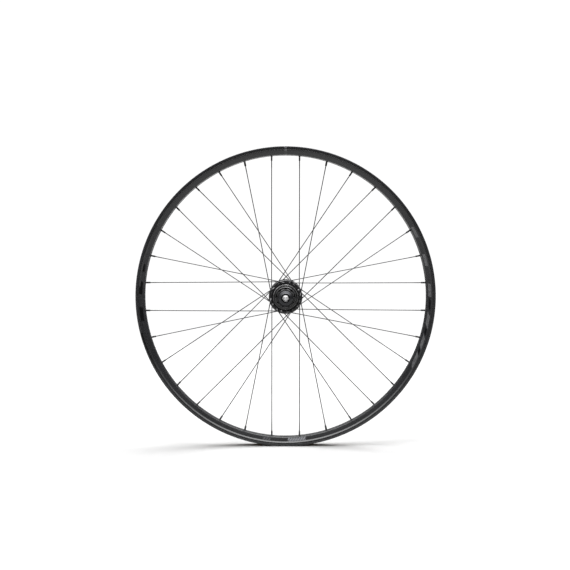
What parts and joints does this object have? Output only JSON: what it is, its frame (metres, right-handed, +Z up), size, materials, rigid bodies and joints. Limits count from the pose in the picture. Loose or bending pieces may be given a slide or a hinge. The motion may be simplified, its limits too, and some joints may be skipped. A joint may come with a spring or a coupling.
{
  "type": "bicycle rear wheel",
  "caption": "Mountain bike rear wheel without its tyre: black alloy disc-brake rim, crossed J-bend spokes, thru-axle hub with ratcheting splined freehub.",
  "frame": {"origin": "centre of the wheel: the middle plane of the rim on the axle's axis, halfway between the end caps' faces", "axes": "+Y along the axle's axis, from the drive side to the disc side; +Z up, away from the valve hole; +X to the right seen from the drive side"},
  "size_m": [0.5952, 0.148, 0.5952],
  "materials": {
    "rim_alloy": "satin",
    "hub_alloy": "satin",
    "freehub_alloy": "satin",
    "axle_alloy": "satin",
    "cap_alloy": "satin",
    "spoke_steel": "satin",
    "nipple_alloy": "satin",
    "ratchet_steel": "satin",
    "bearing_steel": "polished",
    "seal_rubber": "matte",
    "rim_tape": "satin"
  },
  "bodies": {
    "axle": {"axle": "axle_alloy", "end_cap_drive": "cap_alloy", "end_cap_disc": "cap_alloy", "freehub_spacer": "cap_alloy", "ratchet_spacer": "cap_alloy", "hub_spacer": "cap_alloy", "bearing_shell_drive_inner": "bearing_steel", "bearing_shell_disc_inner": "bearing_steel", "bearing_freehub_inboard_inner": "bearing_steel", "bearing_freehub_outboard_inner": "bearing_steel"},
    "wheel": {"rim": "rim_alloy", "rim_tape": "rim_tape", "hub_shell": "hub_alloy", "ratchet_ring": "ratchet_steel", "freehub_seal": "seal_rubber", "bearing_shell_drive_outer": "bearing_steel", "bearing_shell_disc_outer": "bearing_steel", "spoke_drive_01": "spoke_steel", "spoke_drive_02": "spoke_steel", "spoke_drive_03": "spoke_steel", "spoke_drive_04": "spoke_steel", "spoke_drive_05": "spoke_steel", "spoke_drive_06": "spoke_steel", "spoke_drive_07": "spoke_steel", "spoke_drive_08": "spoke_steel", "spoke_drive_09": "spoke_steel", "spoke_drive_10": "spoke_steel", "spoke_drive_11": "spoke_steel", "spoke_drive_12": "spoke_steel", "spoke_drive_13": "spoke_steel", "spoke_drive_14": "spoke_steel", "spoke_drive_15": "spoke_steel", "spoke_drive_16": "spoke_steel", "spoke_disc_01": "spoke_steel", "spoke_disc_02": "spoke_steel", "spoke_disc_03": "spoke_steel", "spoke_disc_04": "spoke_steel", "spoke_disc_05": "spoke_steel", "spoke_disc_06": "spoke_steel", "spoke_disc_07": "spoke_steel", "spoke_disc_08": "spoke_steel", "spoke_disc_09": "spoke_steel", "spoke_disc_10": "spoke_steel", "spoke_disc_11": "spoke_steel", "spoke_disc_12": "spoke_steel", "spoke_disc_13": "spoke_steel", "spoke_disc_14": "spoke_steel", "spoke_disc_15": "spoke_steel", "spoke_disc_16": "spoke_steel"},
    "freehub": {"freehub_body": "freehub_alloy", "pawl_spring": "bearing_steel", "bearing_freehub_inboard_outer": "bearing_steel", "bearing_freehub_outboard_outer": "bearing_steel"},
    "pawl_1": {"pawl_1": "ratchet_steel"},
    "pawl_2": {"pawl_2": "ratchet_steel"},
    "pawl_3": {"pawl_3": "ratchet_steel"},
    "shell_cages": {"bearing_shell_drive_cage": "bearing_steel", "bearing_shell_disc_cage": "bearing_steel"},
    "freehub_cages": {"bearing_freehub_inboard_cage": "bearing_steel", "bearing_freehub_outboard_cage": "bearing_steel"}
  },
  "joints": [
    {"name": "wheel_spin", "type": "hinge", "parent": "axle", "child": "wheel", "pos_m": [0, 0, 0], "axis": [0, 1, 0], "continuous": true},
    {"name": "freehub_spin", "type": "hinge", "parent": "axle", "child": "freehub", "pos_m": [0, -0.045, 0], "axis": [0, 1, 0], "continuous": true},
    {"name": "pawl_1_pivot", "type": "hinge", "parent": "freehub", "child": "pawl_1", "pos_m": [0, -0.0258, 0.0129], "axis": [0, -1, 0], "range_deg": [0, 9], "stiffness_Nm_per_rad": 0.02, "springref_deg": 28.65},
    {"name": "pawl_2_pivot", "type": "hinge", "parent": "freehub", "child": "pawl_2", "pos_m": [-0.01117, -0.0258, -0.00645], "axis": [0, -1, 0], "range_deg": [0, 9], "stiffness_Nm_per_rad": 0.02, "springref_deg": 28.65},
    {"name": "pawl_3_pivot", "type": "hinge", "parent": "freehub", "child": "pawl_3", "pos_m": [0.01117, -0.0258, -0.00645], "axis": [0, -1, 0], "range_deg": [0, 9], "stiffness_Nm_per_rad": 0.02, "springref_deg": 28.65},
    {"name": "shell_cage_spin", "type": "hinge", "parent": "axle", "child": "shell_cages", "pos_m": [0, 0, 0], "axis": [0, 1, 0], "continuous": true},
    {"name": "freehub_cage_spin", "type": "hinge", "parent": "axle", "child": "freehub_cages", "pos_m": [0, -0.045, 0], "axis": [0, 1, 0], "continuous": true}
  ],
  "couplings": [
    {"joint": "pawl_2_pivot", "follows": "pawl_1_pivot", "ratio": 1},
    {"joint": "pawl_3_pivot", "follows": "pawl_1_pivot", "ratio": 1},
    {"joint": "shell_cage_spin", "follows": "wheel_spin", "ratio": 0.57},
    {"joint": "freehub_cage_spin", "follows": "freehub_spin", "ratio": 0.56}
  ]
}
